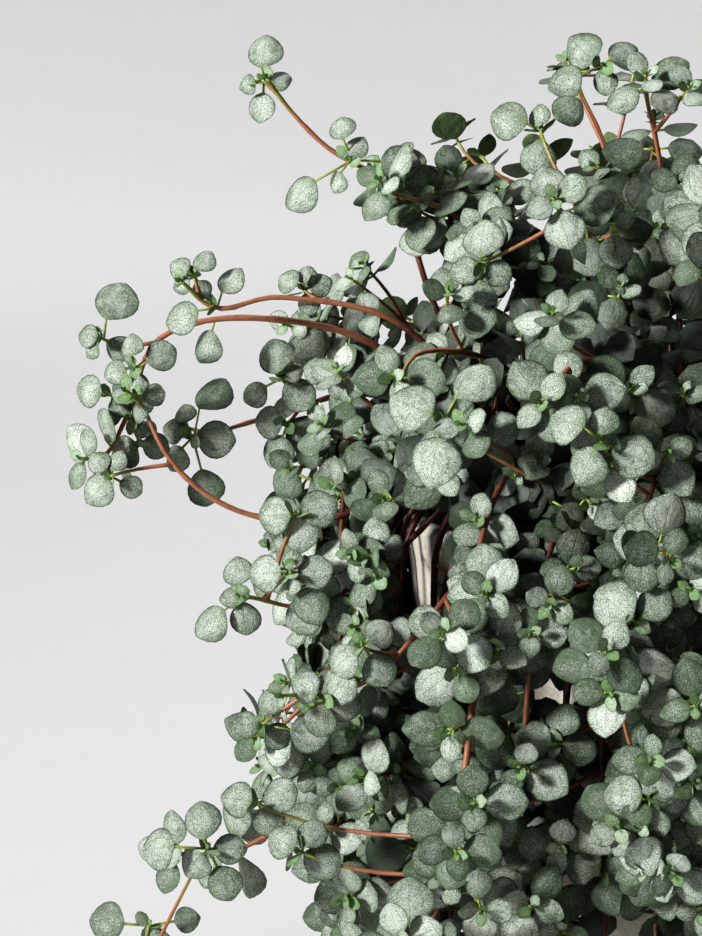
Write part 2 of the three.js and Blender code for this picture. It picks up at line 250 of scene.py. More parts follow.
pot_low, pot_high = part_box("pot")
POT_HEIGHT = (pot_high.z - pot_low.z) / MILLIMETRE
RIM_RADIUS = (pot_high.y - pot_low.y) / 2 / MILLIMETRE
FOOT_RADIUS = RIM_RADIUS - 16
WALL = 4.4
FLOOR = 6
HEEL = 2.0  # the radius of the edge round the foot
RING_INSET = 0.2  # of the wall, to leave room for its throwing rings
POLE = 0.02  # the radius at which a turned shape ends
POT_SIDES = 128


def pot_radius(z):
    """The outer radius: a straight taper from the foot up to the rim."""
    return FOOT_RADIUS + (RIM_RADIUS - FOOT_RADIUS) * z / POT_HEIGHT


def pot_profile():
    """(radius, height) round the pot: out along the foot, up the wall, over the lip and down inside."""
    foot = [(POLE, 0), (FOOT_RADIUS * 0.5, 0), (FOOT_RADIUS - 2.4, 0)]
    turn = np.radians([15, 40, 65, 85])
    heel = np.stack([FOOT_RADIUS - HEEL + HEEL * np.sin(turn), HEEL - HEEL * np.cos(turn)], 1)
    heights = np.linspace(3.5, POT_HEIGHT - 3.5, 42)
    rings = 0.16 * np.sin(heights / 2.1) + 0.1 * np.sin(heights / 0.83 + 1.0)
    outside = np.stack([pot_radius(heights) + rings - RING_INSET, heights], 1)
    middle = pot_radius(POT_HEIGHT) - RING_INSET - WALL / 2
    turn, half = np.linspace(0.05, np.pi - 0.05, 13), WALL / 2
    lip = np.stack([middle + half * np.cos(turn), POT_HEIGHT - half + half * np.sin(turn)], 1)
    depths = np.linspace(POT_HEIGHT - 4, FLOOR + 4, 12)
    inside = np.stack([pot_radius(depths) - WALL, depths], 1)
    bottom = [(pot_radius(FLOOR) - WALL - 3, FLOOR), (POLE, FLOOR)]
    return np.concatenate([foot, heel, outside, lip, inside, bottom])


def turned(profile, sides):
    """Points of a profile of (radius, height) turned round the Z axis, one row for each of its points."""
    turn = np.arange(sides) * 2 * np.pi / sides
    radius, height = profile[:, :1], profile[:, 1:]
    return np.stack([radius * np.cos(turn), radius * np.sin(turn), height + 0 * turn], -1).reshape(-1, 3)


stoneware, tree, finish = new_material("limewashed_stoneware", Specular_IOR_Level=0.25)
here = object_coordinates(tree)
upright = tree.node("ShaderNodeMapping", {"Vector": here, "Scale": (1, 1, 0.12)})
streaks = tree.noise(upright, 5, detail=5, roughness=0.65)
clouds = tree.noise(here, 22, detail=4)
grit = tree.noise(here, 0.7, detail=3, roughness=0.7)
worn = (streaks * 0.6 + clouds * 0.4).rise(0.5, 0.66)
# The wash is the pot's pale lime, set a little darker overall as painted shade from the leaves that hang over
# it.
shaded_wash = colour(tree, 0.47, 0.44, 0.37).blend(grit.rise(0.35, 0.7), (0.62, 0.59, 0.52, 1))
finish(
    Base_Color=shaded_wash.blend(worn * 0.75, (0.30, 0.24, 0.17, 1)),
    Roughness=0.78 + 0.14 * grit,
    bump=grit * 0.6 + streaks * 0.4,
    bump_height=0.0004,
)
profile = pot_profile()
pot = mesh_object(
    "stoneware_pot", turned(profile, POT_SIDES), grid_quads(len(profile), POT_SIDES, closed=True), [stoneware]
)
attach(pot, "root")
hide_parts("pot")


# ---- Soil ----
# Loose dark potting mix, which fills the pot nearly to its rim. It is heaped a little towards the middle,
# with crumbs of peat and bark on its top.

SOIL_TOP = 101
GAP = 0.3  # between the soil and the pot
SOIL_LOW = FLOOR + GAP
SOIL_RINGS = 40
SOIL_SIDES = 96
CRUMBS = 260
CRUMB_RINGS, CRUMB_SIDES = 5, 6


def soil_height(x, y):
    """A low heap that rolls in lumps, with finer lumps on it, and level at the pot's wall."""
    share = 1 - (x**2 + y**2) / RIM_RADIUS**2
    rolls = np.sin(x * 0.31 + 1.1) * np.cos(y * 0.27 - 0.4) + 0.6 * np.sin(x * 0.12 - y * 0.35)
    crumble = 0.35 * np.sin(x * 1.7 + 2 * np.sin(y * 0.9)) * np.sin(y * 1.9 + 2 * np.sin(x * 0.7))
    return SOIL_TOP + (1.6 + 0.8 * rolls + crumble) * share


def crumb_points(centres, sizes, draws):
    """A small lumpy ball, a little flat, round each centre."""
    polar = np.linspace(0.12, np.pi - 0.12, CRUMB_RINGS)
    ball = turned(np.stack([np.sin(polar), 0.75 * np.cos(polar)], 1), CRUMB_SIDES)
    lumpy = ball * draws.uniform(0.7, 1.2, (len(centres), len(ball), 1))
    return (centres[:, None] + sizes[:, None, None] * lumpy).reshape(-1, 3)


def repeated(quads, point_count, copies):
    """The faces of one shape, renumbered for each of its copies."""
    return (np.arange(copies)[:, None, None] * point_count + quads).reshape(-1, 4)


soil_edge = pot_radius(SOIL_TOP) - WALL - GAP
soil_profile = [(POLE, SOIL_LOW), (pot_radius(SOIL_LOW) - WALL - 5, SOIL_LOW)]
soil_profile += [(pot_radius(z) - WALL - GAP, z) for z in np.linspace(SOIL_LOW + 5, SOIL_TOP - 1, 6)]
soil_profile += [(radius, SOIL_TOP) for radius in np.linspace(soil_edge, POLE, SOIL_RINGS)]
soil_points = turned(np.array(soil_profile), SOIL_SIDES)
top = soil_points[:, 2] == SOIL_TOP
soil_points[top, 2] = soil_height(soil_points[top, 0], soil_points[top, 1])
draws = np.random.default_rng(7)
crumb_radius = (soil_edge - 2) * np.sqrt(draws.uniform(0, 1, CRUMBS))
crumb_turn = draws.uniform(0, 2 * np.pi, CRUMBS)
crumb_x, crumb_y = crumb_radius * np.cos(crumb_turn), crumb_radius * np.sin(crumb_turn)
crumb_centres = np.stack([crumb_x, crumb_y, soil_height(crumb_x, crumb_y)], 1)
crumbs = crumb_points(crumb_centres, draws.uniform(0.5, 1.5, CRUMBS), draws)
soil_quads = grid_quads(len(soil_profile), SOIL_SIDES, closed=True)
crumb_faces = grid_quads(CRUMB_RINGS, CRUMB_SIDES, closed=True)
crumb_quads = repeated(crumb_faces, CRUMB_RINGS * CRUMB_SIDES, CRUMBS)

peat, tree, finish = new_material("potting_soil", Specular_IOR_Level=0.2)
here = object_coordinates(tree)
clods = tree.noise(here, 2.2, detail=5, roughness=0.7)
finish(
    Base_Color=colour(tree, 0.010, 0.007, 0.005).blend(clods.rise(0.4, 0.75), (0.060, 0.040, 0.026, 1)),
    Roughness=0.8 + 0.15 * clods,
    bump=clods,
    bump_height=0.0008,
)
soil = mesh_object(
    "potting_soil",
    np.concatenate([soil_points, crumbs]),
    np.concatenate([soil_quads, crumb_quads + len(soil_points)]),
    [peat],
)
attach(soil, "root")
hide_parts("soil")


# ---- Stems: where they run ----
# Thin wiry stems, rooted all over the soil. The inner ones stand up and arch out near their tips.
# The outer ones lean over the rim and hang down round the pot, and long sprays reach out at its left.

ROOT_DEPTH = 7
SPACING = 1.2  # of the points along a stem's route
GOLDEN_SHARE = 0.618034  # of a full round, from each stem to the next, which never bunches them

# A tier is a ring of stems, as their number, the azimuth it starts at, its span in degrees, and the profile
# that they share, [distance from the pot's axis, height] from the soil up. It leaves the left to the sprays
# where the span is under a full turn. A spray is [x, y, z] from the soil up.
TIERS = [
    (2, 0, 360, [[7, SOIL_TOP], [9, 128], [14, 158], [22, 182], [31, 199]]),
    (5, 0, 360, [[18, SOIL_TOP], [22, 126], [33, 155], [50, 171], [67, 176]]),
    (5, -118, 258, [[29, SOIL_TOP], [34, 122], [50, 143], [71, 148], [88, 138]]),
    (4, -118, 258, [[38, SOIL_TOP], [43, 118], [58, 130], [78, 125], [91, 108], [97, 90]]),
    (5, -118, 258, [[44, SOIL_TOP], [50, 117], [63, 122], [76, 111], [82, 92], [83, 72]]),
    (5, -118, 258, [[48, SOIL_TOP], [55, 118], [65, 115], [72, 96], [73, 72], [75, 48], [85, 27]]),
]
SPRAYS = [
    [[-27, 6, SOIL_TOP], [-40, 5, 125], [-54, 2, 152], [-62, -2, 174], [-76, -4, 184], [-88, -6, 197]],
    [[-33, -10, SOIL_TOP], [-41, -12, 125], [-60, -14, 149], [-83, -16, 155], [-96, -17, 153],
     [-104, -18, 160]],
    [[-36, -1, SOIL_TOP], [-44, -2, 122], [-65, -3, 144], [-90, -4, 150], [-108, -5, 146], [-114, -6, 132],
     [-121, -6, 117]],
    [[-44, -13, SOIL_TOP], [-56, -17, 118.5], [-75, -20, 113], [-92, -21, 114.5], [-105, -21, 124],
     [-113, -20, 141]],
    [[-41, 9, SOIL_TOP], [-49, 10, 122], [-67, 11, 133], [-85, 11, 129], [-105, 10, 123]],
    [[-39, -27, SOIL_TOP], [-48, -35, 120], [-64, -43, 109], [-78, -46, 101], [-92, -46, 104]],
    [[-32, -35, SOIL_TOP], [-39, -45, 120], [-54, -57, 104], [-68, -60, 90], [-86, -60, 87]],
    [[-46, 0, SOIL_TOP], [-57, 0, 119], [-69, 0, 107], [-72, 0, 86], [-71, 0, 68]],
    [[-43, -20, SOIL_TOP], [-55, -26, 120], [-69, -31, 102], [-76, -34, 84], [-90, -36, 70]],
    [[-42, 17, SOIL_TOP], [-54, 22, 118.5], [-69, 28, 105], [-76, 31, 84], [-82, 33, 66], [-91, 34, 54]],
    [[-45, -7, SOIL_TOP], [-57, -10, 119], [-70, -13, 101], [-74, -15, 76], [-80, -17, 56], [-94, -18, 46],
     [-110, -18, 46]],
    [[-27, -38, SOIL_TOP], [-35, -51, 119], [-47, -66, 96], [-52, -72, 66], [-60, -72, 42], [-78, -66, 29],
     [-98, -60, 26], [-116, -56, 30]],
]


class Dice:
    """The repeatable draws, by Park and Miller's rule, that bend each stem of a tier."""

    MODULUS = 2147483647

    def __init__(self, seed):
        self.state = 7919 * (seed + 1)
        self.roll(0, 1)

    def roll(self, low, high):
        self.state = self.state * 48271 % self.MODULUS
        return low + (high - low) * self.state / self.MODULUS


def unit(vectors):
    """The vectors with their length made 1."""
    return vectors / np.maximum(np.linalg.norm(vectors, axis=-1, keepdims=True), 1e-9)


def evenly(curve):
    """Points along a curve at even steps of about SPACING."""
    run = np.append(0, np.cumsum(np.linalg.norm(np.diff(curve, axis=0), axis=1)))
    places = np.linspace(0, run[-1], int(run[-1] / SPACING) + 2)
    return np.stack([np.interp(places, run, curve[:, axis]) for axis in range(3)], 1)


def route_through(points):
    """A smooth curve through the points, run straight on down to the root.

    It is a uniform Catmull-Rom curve with reflected ends: from b to c, between a and d, it is half of
    2b + (c - a) w + (2a - 5b + 4c - d) w squared + (3b - a - 3c + d) w cubed.
    """
    points = np.array(points, float)
    root = points[0] + ROOT_DEPTH * unit(points[0] - points[1])
    points = np.concatenate([[root], points])
    ends = 2 * points[[0, -1]] - points[[1, -2]]
    knots = np.concatenate([ends[:1], points, ends[1:]])
    place = np.linspace(0, len(points) - 1, 30 * len(points))
    first = np.minimum(place.astype(int), len(points) - 2)
    w = (place - first)[:, None]
    a, b, c, d = (knots[first + k] for k in range(4))
    square = (a - 2.5 * b + 2 * c - d / 2) * w**2
    cube = (1.5 * b - a / 2 - 1.5 * c + d / 2) * w**3
    return evenly(b + (c - a) / 2 * w + square + cube)


def tier_route(profile, azimuth, seed):
    """A tier's profile stood up at this azimuth, a little longer or shorter and swayed to one side."""
    dice = Dice(seed)
    reach, sway = dice.roll(0.94, 1.06), dice.roll(-0.12, 0.12)
    share = np.linspace(0, 1, len(profile))
    radius, height = np.array(profile, float).T
    radius = radius * (1 + (reach - 1) * share)
    turn = azimuth + sway * share
    return route_through(np.stack([radius * np.cos(turn), radius * np.sin(turn), height], 1))


routes = [route_through(points) for points in SPRAYS]
for count, start, span, profile in TIERS:
    for _ in range(count):
        azimuth = np.radians(start + span * (len(routes) * GOLDEN_SHARE % 1))
        routes.append(tier_route(profile, azimuth, len(routes)))


# ---- Blades ----
# A blade is nearly round, with a wide wedge at its base and a blunt point, and is thick and a little brittle.
# Each is a closed shell, three points wide, whose upper and lower faces meet at a thin rim.

BLADE_ROWS = np.array([0, 0.03, 0.1, 0.22, 0.38, 0.55, 0.72, 0.86, 0.96, 1])
INNER_ROWS = np.array([0, 0.08, 0.3, 0.68, 0.92, 1])  # of the leaves inside the bush
BUD_ROWS = np.array([0, 0.25, 0.6, 0.9, 1])
BLADE_THICKNESS = 0.5


def blade_template(rows):
    """The u, v and side of a closed blade's points, and its faces: first the upper side's, as a grid.

    The lower side shares its edge and has inner points of its own.
    """
    u = np.tile([-1.0, 0.0, 1.0], len(rows))
    v = np.repeat(rows, 3)
    inner = (u == 0) & (v > 0) & (v < 1)
    below = np.arange(len(u))
    below[inner] = len(u) + np.arange(inner.sum())
    upper = grid_quads(len(rows), 3)
    return {
        "u": np.append(u, u[inner]),
        "v": np.append(v, v[inner]),
        "side": np.append(inner, -1.0 * inner[inner]),
        "faces": np.concatenate([upper, below[upper][:, ::-1]]),
    }


def blade_points(leaves, template):
    """Each blade's points: across by u times its outline and along by v, hollowed, bent down and twisted.

    The outline is (1 - |2v - 1| to the power 2.2) to the power 0.75, with v drawn towards one end by full.
    The rise is cup x squared / width - curl y squared / length + twist x v, and half the thickness.
    """
    u, v, side = template["u"], template["v"], template["side"]
    length, width = leaves["length"][:, None], leaves["width"][:, None]
    drawn = v + leaves["full"][:, None] * v * (1 - v)
    outline = np.clip(1 - np.abs(2 * drawn - 1) ** 2.2, 0.012, None) ** 0.75
    x = width / 2 * outline * u
    y = length * v
    z = leaves["cup"][:, None] * x**2 / width - leaves["curl"][:, None] * y**2 / length
    z = z + leaves["twist"][:, None] * x * v + BLADE_THICKNESS / 2 * np.minimum(1, length / 5) * side
    across = np.cross(leaves["along"], leaves["normal"])[:, None]
    place = leaves["base"][:, None] + x[..., None] * across + y[..., None] * leaves["along"][:, None]
    return (place + z[..., None] * leaves["normal"][:, None]).reshape(-1, 3)


def facing(points):
    """Where a blade there turns its upper face: out from the pot's axis, up, and on the near side forward."""
    radius = np.hypot(points[:, 0], points[:, 1])
    outward = points * [1, 1, 0] / np.maximum(radius, 1)[:, None]
    over = np.clip((points[:, 2] - POT_HEIGHT) / 90, 0, 1)[:, None]
    near = np.clip((40 - points[:, 1]) / 60, 0, 1)[:, None]
    spread = np.minimum(1, radius / 75)[:, None] * (1 - 0.35 * over) * (1 - 0.45 * near)
    return unit(outward * spread + [0, 0, 0.3] + over * [0, 0, 0.5] + near * [0, -0.95, 0])


SHELL_RADIUS = 84
SHELL_FOOT = 100  # the bush is a dome from here up, and a skirt that hangs straight from here down
SHELL_HEIGHT = 93
LOWEST = 6  # where blades and shoots still clear the floor


def depth(points):
    """1 on the bush's outer surface and less inside it.

    It is the length of (radius / SHELL_RADIUS, height over SHELL_FOOT / SHELL_HEIGHT).
    """
    radius = np.hypot(points[..., 0], points[..., 1])
    return np.hypot(radius / SHELL_RADIUS, np.maximum(points[..., 2] - SHELL_FOOT, 0) / SHELL_HEIGHT)


def off_pot(points, gap):
    """Whether each point is over the pot's rim or off its wall by more than gap, and clear of the floor."""
    radius = np.hypot(points[..., 0], points[..., 1])
    above = points[..., 2] > POT_HEIGHT + gap
    return (above | (radius > pot_radius(points[..., 2]) + gap)) & (points[..., 2] > LOWEST)


HOLLOW_FLOOR = 0.9  # the depth down to which the hollows between the shoots are free of leaves
HOLLOW_LEFT = -66  # in X. The sprays beyond it have none


def in_hollow(points):
    """Whether each point is in one of the dark hollows between the shoots, about 20 mm wide and 40 mm apart.

    They are where three waves, one along each axis and each bent by the next, add up to more than 0.5.
    """
    x, y, z = points[:, 0], points[:, 1], points[:, 2]
    waves = np.sin(0.16 * x + 1.3 * np.sin(0.11 * z)) + np.sin(0.15 * y + 1.7 * np.sin(0.13 * x))
    open_part = (depth(points) > HOLLOW_FLOOR) & (x > HOLLOW_LEFT)
    return (waves + np.sin(0.17 * z + 1.1 * np.sin(0.12 * y)) > 0.5) & open_part


def in_parting(points):
    """Whether each point is in the gap of the curtain, at its left, through which the pot's wall shows.

    It is 12 mm wide and runs forward from the pot's rim, rising one in six. A second gap, 20 mm wide, runs
    from there to the left and forward, rising nearly one in two, and lets the light in.
    """
    x, y, z = points[:, 0], points[:, 1], points[:, 2]
    level = z + y / 6
    view = (y < 2) & (x > -63.5) & (x < -51.5) & (level > 92) & (level < 114)
    left = x + 58
    light = (np.abs(y + 15 - 0.69 * left) < 10) & (np.abs(z - 103 + 0.45 * left) < 10)
    return view | (light & (left < 0) & (left > -34))


# ---- Shoots ----
# The blades sit in pairs, each turned a quarter from the last, and crowd into an open rosette at every tip.
# Their stalks are short in the rosette and a few millimetres long further down, where the pairs stand apart.

# A node's distance from the tip, and its blades' length, angle from the shoot and turn to the light.
NODES = [
    [0.2, 1.6, 24, 0],
    [0.7, 3.3, 54, 0],
    [1.6, 6.0, 72, 0],
    [3.6, 8.1, 80, 0.1],
    [8.5, 8.6, 84, 0.45],
    [18, 8.3, 86, 0.7],
    [26.5, 8.1, 86, 0.75],
]
FURTHER_LENGTHS = [7.9, 7.6, 7.4, 7.2, 7.0, 6.8, 6.6]  # at nodes that are 9 mm apart
NODES = np.array(NODES + [[35 + 9 * k, length, 86, 0.75] for k, length in enumerate(FURTHER_LENGTHS)])
LEAFLESS = 0.62  # the depth at which the bush is too dark for leaves
SHADE_PAINT_FROM, SHADE_PAINT_OVER = 1.02, 0.16  # where painted shade begins on leaves and stems, and over what depth it deepens
THINNED = 0.3  # the share of its pairs that a bare part keeps
NEVER = -np.inf  # where no part is bare
SHOOT_POINTS = 7
SHOOT_SPACING = 8.5  # between the nodes that bear side shoots
SHOOT_REACH = (8, 21)


def painted_shade_amount(points):
    """The amount of painted shade: 0 where the bush is open to the light, rising to 1 deep inside it."""
    return np.clip((SHADE_PAINT_FROM - depth(points)) / SHADE_PAINT_OVER, 0, 1)


def grow(paths, lengths, draws, vigour, roll, keep=1.0, bare_from=NEVER, most=len(NODES), plain_tip=False):
    """The blades of shoots that are given as paths of equal point count, as one dictionary of arrays.

    Each path gets a pair at each node within its length, up to most pairs. Its vigour scales them, and roll
    turns the first pair round the shoot. Past the rosette, only the share keep of them is left, or THINNED
    left of bare_from, in X. A plain tip has only the two pairs of its bud, and is bare behind it.
    Age runs from 0 in the bud to 1 in a grown pair, and painted shade raises it up to 2 deep inside the bush.
    """
    points = paths.shape[1]
    tangents = unit(np.gradient(paths, axis=1))
    shoot, node = np.nonzero(NODES[:most, 0] < lengths[:, None] - SPACING)
    distance, length, angle, turn = NODES[node].T
    place = (1 - distance / lengths[shoot]) * (points - 1)
    low = np.clip(place.astype(int), 0, points - 2)
    share = (place - low)[:, None]
    root = paths[shoot, low] * (1 - share) + paths[shoot, low + 1] * share
    tangent = unit(tangents[shoot, low] * (1 - share) + tangents[shoot, low + 1] * share)
    level = unit(np.cross([0.02, 0.01, 1], tangent))
    quarter = (roll[shoot] + node % 2 * np.pi / 2 + np.radians(draws.normal(0, 7, len(node))))[:, None]
    axis = level * np.cos(quarter) + np.cross(tangent, level) * np.sin(quarter)

    root, tangent, node = np.repeat(root, 2, 0), np.repeat(tangent, 2, 0), np.repeat(node, 2)
    axis = np.repeat(axis, 2, 0) * np.tile([1, -1], len(shoot))[:, None]
    length, angle, turn = np.repeat(length, 2), np.radians(np.repeat(angle, 2)), np.repeat(turn, 2)[:, None]
    old = np.clip(node / 4, 0, 1)
    total = len(length)
    size = length * np.repeat(vigour[shoot], 2) * draws.uniform(0.84, 1.1, total)
    angle = (angle + np.radians(draws.normal(0, 6, total)))[:, None]
    out = tangent * np.cos(angle) + axis * np.sin(angle)
    upper = tangent * np.sin(angle) - axis * np.cos(angle)
    normal = unit(upper * (1 - turn) + facing(root) * turn + draws.normal(0, 0.15, (total, 3)))
    along = out - np.sum(out * normal, 1, keepdims=True) * normal
    along = unit(along + turn * 0.3 * ([0, 0, -1] + normal * normal[:, 2:]))
    stalk = size * (0.06 + 0.2 * old**2) * draws.uniform(0.7, 1.3, total)
    base = root + unit(out + along) * stalk[:, None]
    middle = base + along * size[:, None] / 2
    leaves = {
        "root": root,
        "base": base,
        "along": along,
        "normal": normal,
        "length": size,
        "width": size * draws.uniform(0.88, 1.06, total) * (0.78 + 0.22 * old),
        "full": draws.uniform(-0.2, 0.35, total),
        "cup": 0.5 - 1.15 * old + draws.normal(0, 0.2, total),
        "curl": -0.1 + 0.18 * old + draws.normal(0, 0.08, total),
        "twist": draws.normal(0, 0.12, total),
        # Above 1, this is painted shade deep inside the bush.
        "age_and_shade": old * (1 + painted_shade_amount(middle)),
        "tone": draws.uniform(0, 1, total),
    }
    lit = depth(middle) + 0.08 * draws.normal(size=total) > LEAFLESS
    kept = draws.uniform(0, 1, total) < np.where(root[:, 0] > bare_from, keep, 0 if plain_tip else THINNED)
    left = np.where(node < 4, (node < 2) | (not plain_tip), kept & ~in_hollow(middle))
    return chosen(leaves, off_pot(middle, 3) & (lit | (node < 1)) & left & ~in_parting(middle))


def set_leaves(rosettes, draws):
    """The blades of listed rosettes. Seen from the front, each points away from its rosette's middle."""
    rows = np.array([[*place, *blade] for place, _, blades in rosettes for blade in blades])
    centre, (direction, distance, size, tone) = rows[:, :3], rows[:, 3:].T
    direction = np.radians(direction)
    way = np.stack([np.cos(direction), 0 * direction, np.sin(direction)], 1)
    total = len(rows)
    light = unit(np.array([-0.3, -1.0, 0.35]))
    normal = unit(light + 0.24 * way + draws.normal(0, 0.12, (total, 3)))
    along = unit(way - np.sum(way * normal, 1, keepdims=True) * normal)
    back = light * (0.3 * size * draws.uniform(0.5, 1, total))[:, None]
    return {
        "root": centre - back,
        "base": centre - back * 0.5 + way * distance[:, None] - along * size[:, None] / 2,
        "along": along,
        "normal": normal,
        "length": size,
        "width": size * draws.uniform(0.92, 1.04, total),
        "full": draws.uniform(-0.2, 0.35, total),
        "cup": draws.normal(-0.65, 0.15, total),
        "curl": draws.normal(0.08, 0.05, total),
        "twist": draws.normal(0, 0.1, total),
        "age_and_shade": np.clip(size / 6, 0.5, 1),
        "tone": 0.2 + 0.8 * tone,
    }


def chosen(leaves, mask):
    """The leaves for which mask is true."""
    return {key: values[mask] for key, values in leaves.items()}


def joined(parts):
    """One dictionary of arrays from several."""
    return {key: np.concatenate([part[key] for part in parts]) for key in parts[0]}


def towards_light(path):
    """The path with its last steps turned more and more to the light, so that its rosette opens that way."""
    steps = np.diff(path, axis=0)
    share = np.clip((np.arange(len(steps)) - len(steps) + 9) / 7, 0, 0.85)[:, None]
    steps = unit(steps * (1 - share) + facing(path[-1:]) * SPACING * share) * SPACING
    return path[0] + np.concatenate([np.zeros((1, 3)), np.cumsum(steps, 0)])


def bent_paths(start, first_way, tips, last_way):
    """Quadratic curves from start to tips, which leave along first_way and end along last_way."""
    reach = np.linalg.norm(tips - start, axis=1, keepdims=True)
    middle = (start + first_way * reach * 0.5 + tips - last_way * reach * 0.5) / 2
    w = np.linspace(0, 1, SHOOT_POINTS)[:, None]
    return start[:, None] * (1 - w) ** 2 + middle[:, None] * 2 * w * (1 - w) + tips[:, None] * w**2


def side_shoots(path, draws, leafy_length, bare_from):
    """Paths of shoots from a stem's nodes: each leaves at the stem's side and bends to the light.

    Left of bare_from, in X, the stem has none.
    """
    distances = np.arange(15, min(leafy_length, SPACING * len(path) - 14), SHOOT_SPACING)
    distances = np.repeat(distances, 2)
    distances = distances[draws.uniform(0, 1, len(distances)) < 0.68]
    index = len(path) - 1 - (distances / SPACING).astype(int)
    start, tangent = path[index], unit(path[index + 1] - path[index - 1])
    light = facing(start)
    around = 0.7 * light + unit(draws.normal(size=(len(index), 3)))
    axis = unit(around - np.sum(around * tangent, 1, keepdims=True) * tangent)
    reach = draws.uniform(*SHOOT_REACH, len(index))[:, None]
    out = unit(axis + 0.5 * tangent + 0.3 * light)
    tips = start + reach * unit(out + 0.8 * light)
    clear = off_pot(tips, 7) & (depth(tips) > LEAFLESS) & (tips[:, 0] > bare_from)
    clear = clear & ~in_hollow(tips) & ~in_parting(tips)
    final = unit(light + 0.3 * axis + draws.normal(0, 0.4, (len(index), 3)))
    return bent_paths(start, out, tips, final)[clear]


def placed_shoots(path, tips):
    """Paths of shoots to given tips, each from about 4 mm behind the stem's point that is nearest."""
    index = np.linalg.norm(path - tips[:, None], axis=2).argmin(1)
    index = np.clip(index - 3, 1, len(path) - 2)
    start, tangent = path[index], unit(path[index + 1] - path[index - 1])
    return bent_paths(start, unit(unit(tips - start) + 0.8 * tangent), tips, facing(tips))


def tubes(paths, radii, normals, sides):
    """Round tubes along paths of equal point count. The normal of each path's plane starts its rings."""
    tangents = unit(np.gradient(paths, axis=1))
    sideways = unit(np.cross(tangents, normals[:, None]))
    upwards = np.cross(sideways, tangents)
    turn = np.arange(sides) * 2 * np.pi / sides
    ring = sideways[:, :, None] * np.cos(turn)[:, None] + upwards[:, :, None] * np.sin(turn)[:, None]
    return (paths[:, :, None] + radii[:, :, None, None] * ring).reshape(-1, 3)


def tube_quads(points, sides):
    """The faces of one tube with an even number of sides, its ends closed by strips of four-sided faces."""
    strips = np.array([[k, k + 1, sides - 2 - k, sides - 1 - k] for k in range(sides // 2 - 1)])
    last = (points - 1) * sides
    return np.concatenate([grid_quads(points, sides, closed=True), strips[:, ::-1], strips + last])


def path_lengths(paths):
    """The sum of each path's steps."""
    return np.linalg.norm(np.diff(paths, axis=1), axis=2).sum(1)


SKIN_UPPER, SKIN_LOWER, SKIN_STEM = 0, 1, 2
SMALL_BLADE = 3.9  # shorter blades have fewer rows, and no stalk
INNER_SHADE = 1.4  # blades under more painted shade have fewer rows
STEM_SIDES, STALK_SIDES = 6, 4
SHOOT_RADII, SHOOT_AGES = (0.46, 0.28), (0.75, 0.08)  # from start to tip
STALK_RADIUS, STALK_AGE = 0.26, 0.04
BLADE = blade_template(BLADE_ROWS)
INNER_BLADE = blade_template(INNER_ROWS)
BUD_BLADE = blade_template(BUD_ROWS)


def woody_groups(path, to_tip, shoots):
    """A stem, thicker at its root and nodes, and its side shoots, which thin out towards their tips."""
    plane = np.linalg.svd(path - path.mean(0))[2][2]
    ring = np.unique(np.append(np.arange(0, len(path), 2), np.arange(len(path) - 8, len(path))))
    knuckle = np.exp(-(((to_tip - 1.5) % SHOOT_SPACING - SHOOT_SPACING / 2) ** 2) / 1.2)
    thickness = ((0.38 + 0.3 * np.clip(to_tip / 70, 0, 1)) * (1 + 0.22 * knuckle))[ring]
    stem = tubes(path[ring][None], thickness[None], plane[None], STEM_SIDES)
    # Past 1, this carries painted shade where the stem runs deep inside the bush.
    stem_age_and_shade = np.repeat(np.clip(to_tip[ring] / 25, 0, 1) * (1 + painted_shade_amount(path[ring])), STEM_SIDES)

    count, half = len(shoots), SHOOT_POINTS // 2
    shoot_plane = np.cross(shoots[:, half] - shoots[:, 0], shoots[:, -1] - shoots[:, half])
    radii = np.linspace(*SHOOT_RADII, SHOOT_POINTS) * np.ones((count, 1))
    side = tubes(shoots, radii, unit(shoot_plane + [1e-6, 0, 0]), STEM_SIDES)
    side_age = np.tile(np.repeat(np.linspace(*SHOOT_AGES, SHOOT_POINTS), STEM_SIDES), count)
    side_faces = repeated(tube_quads(SHOOT_POINTS, STEM_SIDES), SHOOT_POINTS * STEM_SIDES, count)
    return [
        (stem, tube_quads(len(ring), STEM_SIDES), SKIN_STEM, stem_age_and_shade, 0.5, None),
        (side, side_faces, SKIN_STEM, side_age, 0.5, None),
    ]


def leaf_groups(leaves):
    """The blades, by the number of their rows, and the stalks of all but the small ones."""
    small = leaves["length"] < SMALL_BLADE
    inner = ~small & (leaves["age_and_shade"] > INNER_SHADE)
    groups = []
    for mask, template in ((~small & ~inner, BLADE), (inner, INNER_BLADE), (small, BUD_BLADE)):
        kept = chosen(leaves, mask)
        count, size = len(kept["length"]), len(template["u"])
        uv = np.stack([np.tile(template["u"], count) / 2 + 0.5, np.tile(template["v"], count)], 1)
        age_and_shade, tone = np.repeat(kept["age_and_shade"], size), np.repeat(kept["tone"], size)
        faces = repeated(template["faces"], size, count)
        skin = np.repeat([SKIN_UPPER, SKIN_LOWER], len(template["faces"]) // 2)
        groups.append((blade_points(kept, template), faces, np.tile(skin, count), age_and_shade, tone, uv))
        if template is not BUD_BLADE:
            ends = np.stack([kept["root"], kept["base"] + 0.3 * kept["along"]], 1)
            stalks = tubes(ends, np.full((count, 2), STALK_RADIUS), kept["normal"], STALK_SIDES)
            faces = repeated(tube_quads(2, STALK_SIDES), 2 * STALK_SIDES, count)
            groups.append((stalks, faces, SKIN_STEM, STALK_AGE, 0.5, None))
    return groups


